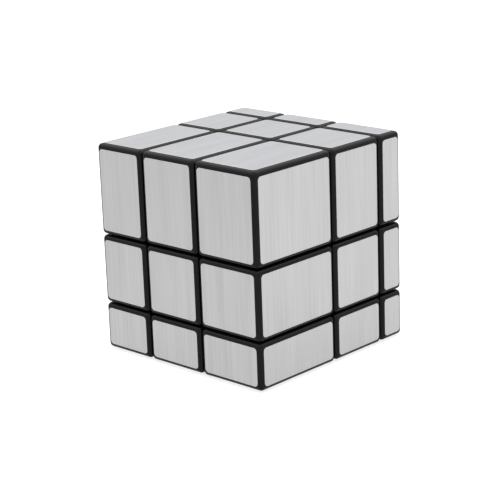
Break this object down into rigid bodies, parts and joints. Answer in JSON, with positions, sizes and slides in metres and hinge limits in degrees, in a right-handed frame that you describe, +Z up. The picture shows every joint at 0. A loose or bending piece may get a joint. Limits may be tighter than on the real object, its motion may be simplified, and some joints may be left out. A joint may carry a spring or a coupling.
{
  "type": "mirror block cube",
  "caption": "Shape-shifting twisty puzzle cube with layers of unequal depth, black plastic blocks and brushed silver film faces; every outer layer turns freely.",
  "frame": {"origin": "middle of the bottom face of the cube's bounding box, on the surface it stands on", "axes": "+Z up, front face towards -Y, right face towards +X"},
  "size_m": [0.057, 0.057, 0.057],
  "materials": {
    "block_plastic": "black injection-moulded ABS, semi-gloss",
    "inner_plastic": "black moulded plastic, satin, hidden inside",
    "core_plastic": "light grey moulded plastic, satin, hidden inside",
    "brushed_film": "thin silver film with a fine brushed grain, satin",
    "steel": "zinc-plated steel screws and washers, spring wire"
  },
  "bodies": {
    "core": {"core_spider": "core_plastic", "tension_hardware": "steel"},
    "centre_right": {"right_centre_base": "inner_plastic", "right_centre_cap": "block_plastic", "right_centre_sticker": "brushed_film"},
    "centre_left": {"left_centre_base": "inner_plastic", "left_centre_cap": "block_plastic", "left_centre_sticker": "brushed_film"},
    "centre_front": {"front_centre_base": "inner_plastic", "front_centre_cap": "block_plastic", "front_centre_sticker": "brushed_film"},
    "centre_back": {"back_centre_base": "inner_plastic", "back_centre_cap": "block_plastic", "back_centre_sticker": "brushed_film"},
    "centre_up": {"up_centre_base": "inner_plastic", "up_centre_cap": "block_plastic", "up_centre_sticker": "brushed_film"},
    "centre_down": {"down_centre_base": "inner_plastic", "down_centre_cap": "block_plastic", "down_centre_sticker": "brushed_film"},
    "edge_front_up": {"front_up_edge": "block_plastic", "front_up_edge_stickers": "brushed_film"},
    "edge_front_down": {"front_down_edge": "block_plastic", "front_down_edge_stickers": "brushed_film"},
    "edge_back_up": {"back_up_edge": "block_plastic", "back_up_edge_stickers": "brushed_film"},
    "edge_back_down": {"back_down_edge": "block_plastic", "back_down_edge_stickers": "brushed_film"},
    "edge_front_left": {"front_left_edge": "block_plastic", "front_left_edge_stickers": "brushed_film"},
    "edge_front_right": {"front_right_edge": "block_plastic", "front_right_edge_stickers": "brushed_film"},
    "edge_back_left": {"back_left_edge": "block_plastic", "back_left_edge_stickers": "brushed_film"},
    "edge_back_right": {"back_right_edge": "block_plastic", "back_right_edge_stickers": "brushed_film"},
    "edge_up_left": {"up_left_edge": "block_plastic", "up_left_edge_stickers": "brushed_film"},
    "edge_up_right": {"up_right_edge": "block_plastic", "up_right_edge_stickers": "brushed_film"},
    "edge_down_left": {"down_left_edge": "block_plastic", "down_left_edge_stickers": "brushed_film"},
    "edge_down_right": {"down_right_edge": "block_plastic", "down_right_edge_stickers": "brushed_film"},
    "corner_front_up_left": {"front_up_left_corner": "block_plastic", "front_up_left_corner_stickers": "brushed_film"},
    "corner_front_up_right": {"front_up_right_corner": "block_plastic", "front_up_right_corner_stickers": "brushed_film"},
    "corner_front_down_left": {"front_down_left_corner": "block_plastic", "front_down_left_corner_stickers": "brushed_film"},
    "corner_front_down_right": {"front_down_right_corner": "block_plastic", "front_down_right_corner_stickers": "brushed_film"},
    "corner_back_up_left": {"back_up_left_corner": "block_plastic", "back_up_left_corner_stickers": "brushed_film"},
    "corner_back_up_right": {"back_up_right_corner": "block_plastic", "back_up_right_corner_stickers": "brushed_film"},
    "corner_back_down_left": {"back_down_left_corner": "block_plastic", "back_down_left_corner_stickers": "brushed_film"},
    "corner_back_down_right": {"back_down_right_corner": "block_plastic", "back_down_right_corner_stickers": "brushed_film"}
  },
  "joints": [
    {"name": "right_turn", "type": "hinge", "parent": "core", "child": "centre_right", "pos_m": [-0.002, 0.01, 0.0225], "axis": [1, 0, 0], "continuous": true},
    {"name": "left_turn", "type": "hinge", "parent": "core", "child": "centre_left", "pos_m": [-0.002, 0.01, 0.0225], "axis": [-1, 0, 0], "continuous": true},
    {"name": "front_turn", "type": "hinge", "parent": "core", "child": "centre_front", "pos_m": [-0.002, 0.01, 0.0225], "axis": [0, -1, 0], "continuous": true},
    {"name": "back_turn", "type": "hinge", "parent": "core", "child": "centre_back", "pos_m": [-0.002, 0.01, 0.0225], "axis": [0, 1, 0], "continuous": true},
    {"name": "up_turn", "type": "hinge", "parent": "core", "child": "centre_up", "pos_m": [-0.002, 0.01, 0.0225], "axis": [0, 0, 1], "continuous": true},
    {"name": "down_turn", "type": "hinge", "parent": "core", "child": "centre_down", "pos_m": [-0.002, 0.01, 0.0225], "axis": [0, 0, -1], "continuous": true},
    {"name": "edge_front_up_with_front", "type": "hinge", "parent": "centre_up", "child": "edge_front_up", "pos_m": [-0.002, 0.01, 0.0225], "axis": [0, -1, 0], "continuous": true},
    {"name": "edge_front_down_with_front", "type": "hinge", "parent": "centre_down", "child": "edge_front_down", "pos_m": [-0.002, 0.01, 0.0225], "axis": [0, -1, 0], "continuous": true},
    {"name": "edge_back_up_with_back", "type": "hinge", "parent": "centre_up", "child": "edge_back_up", "pos_m": [-0.002, 0.01, 0.0225], "axis": [0, 1, 0], "continuous": true},
    {"name": "edge_back_down_with_back", "type": "hinge", "parent": "centre_down", "child": "edge_back_down", "pos_m": [-0.002, 0.01, 0.0225], "axis": [0, 1, 0], "continuous": true},
    {"name": "edge_front_left_with_left", "type": "hinge", "parent": "centre_front", "child": "edge_front_left", "pos_m": [-0.002, 0.01, 0.0225], "axis": [-1, 0, 0], "continuous": true},
    {"name": "edge_front_right_with_right", "type": "hinge", "parent": "centre_front", "child": "edge_front_right", "pos_m": [-0.002, 0.01, 0.0225], "axis": [1, 0, 0], "continuous": true},
    {"name": "edge_back_left_with_left", "type": "hinge", "parent": "centre_back", "child": "edge_back_left", "pos_m": [-0.002, 0.01, 0.0225], "axis": [-1, 0, 0], "continuous": true},
    {"name": "edge_back_right_with_right", "type": "hinge", "parent": "centre_back", "child": "edge_back_right", "pos_m": [-0.002, 0.01, 0.0225], "axis": [1, 0, 0], "continuous": true},
    {"name": "edge_up_left_with_up", "type": "hinge", "parent": "centre_left", "child": "edge_up_left", "pos_m": [-0.002, 0.01, 0.0225], "axis": [0, 0, 1], "continuous": true},
    {"name": "edge_up_right_with_up", "type": "hinge", "parent": "centre_right", "child": "edge_up_right", "pos_m": [-0.002, 0.01, 0.0225], "axis": [0, 0, 1], "continuous": true},
    {"name": "edge_down_left_with_down", "type": "hinge", "parent": "centre_left", "child": "edge_down_left", "pos_m": [-0.002, 0.01, 0.0225], "axis": [0, 0, -1], "continuous": true},
    {"name": "edge_down_right_with_down", "type": "hinge", "parent": "centre_right", "child": "edge_down_right", "pos_m": [-0.002, 0.01, 0.0225], "axis": [0, 0, -1], "continuous": true},
    {"name": "corner_front_up_left_with_left", "type": "hinge", "parent": "edge_front_up", "child": "corner_front_up_left", "pos_m": [-0.002, 0.01, 0.0225], "axis": [-1, 0, 0], "continuous": true},
    {"name": "corner_front_up_right_with_right", "type": "hinge", "parent": "edge_front_up", "child": "corner_front_up_right", "pos_m": [-0.002, 0.01, 0.0225], "axis": [1, 0, 0], "continuous": true},
    {"name": "corner_front_down_left_with_left", "type": "hinge", "parent": "edge_front_down", "child": "corner_front_down_left", "pos_m": [-0.002, 0.01, 0.0225], "axis": [-1, 0, 0], "continuous": true},
    {"name": "corner_front_down_right_with_right", "type": "hinge", "parent": "edge_front_down", "child": "corner_front_down_right", "pos_m": [-0.002, 0.01, 0.0225], "axis": [1, 0, 0], "continuous": true},
    {"name": "corner_back_up_left_with_left", "type": "hinge", "parent": "edge_back_up", "child": "corner_back_up_left", "pos_m": [-0.002, 0.01, 0.0225], "axis": [-1, 0, 0], "continuous": true},
    {"name": "corner_back_up_right_with_right", "type": "hinge", "parent": "edge_back_up", "child": "corner_back_up_right", "pos_m": [-0.002, 0.01, 0.0225], "axis": [1, 0, 0], "continuous": true},
    {"name": "corner_back_down_left_with_left", "type": "hinge", "parent": "edge_back_down", "child": "corner_back_down_left", "pos_m": [-0.002, 0.01, 0.0225], "axis": [-1, 0, 0], "continuous": true},
    {"name": "corner_back_down_right_with_right", "type": "hinge", "parent": "edge_back_down", "child": "corner_back_down_right", "pos_m": [-0.002, 0.01, 0.0225], "axis": [1, 0, 0], "continuous": true}
  ],
  "couplings": [
    {"joint": "edge_front_up_with_front", "follows": "front_turn", "ratio": 1},
    {"joint": "edge_front_down_with_front", "follows": "front_turn", "ratio": 1},
    {"joint": "edge_back_up_with_back", "follows": "back_turn", "ratio": 1},
    {"joint": "edge_back_down_with_back", "follows": "back_turn", "ratio": 1},
    {"joint": "edge_front_left_with_left", "follows": "left_turn", "ratio": 1},
    {"joint": "edge_front_right_with_right", "follows": "right_turn", "ratio": 1},
    {"joint": "edge_back_left_with_left", "follows": "left_turn", "ratio": 1},
    {"joint": "edge_back_right_with_right", "follows": "right_turn", "ratio": 1},
    {"joint": "edge_up_left_with_up", "follows": "up_turn", "ratio": 1},
    {"joint": "edge_up_right_with_up", "follows": "up_turn", "ratio": 1},
    {"joint": "edge_down_left_with_down", "follows": "down_turn", "ratio": 1},
    {"joint": "edge_down_right_with_down", "follows": "down_turn", "ratio": 1},
    {"joint": "corner_front_up_left_with_left", "follows": "left_turn", "ratio": 1},
    {"joint": "corner_front_up_right_with_right", "follows": "right_turn", "ratio": 1},
    {"joint": "corner_front_down_left_with_left", "follows": "left_turn", "ratio": 1},
    {"joint": "corner_front_down_right_with_right", "follows": "right_turn", "ratio": 1},
    {"joint": "corner_back_up_left_with_left", "follows": "left_turn", "ratio": 1},
    {"joint": "corner_back_up_right_with_right", "follows": "right_turn", "ratio": 1},
    {"joint": "corner_back_down_left_with_left", "follows": "left_turn", "ratio": 1},
    {"joint": "corner_back_down_right_with_right", "follows": "right_turn", "ratio": 1}
  ]
}
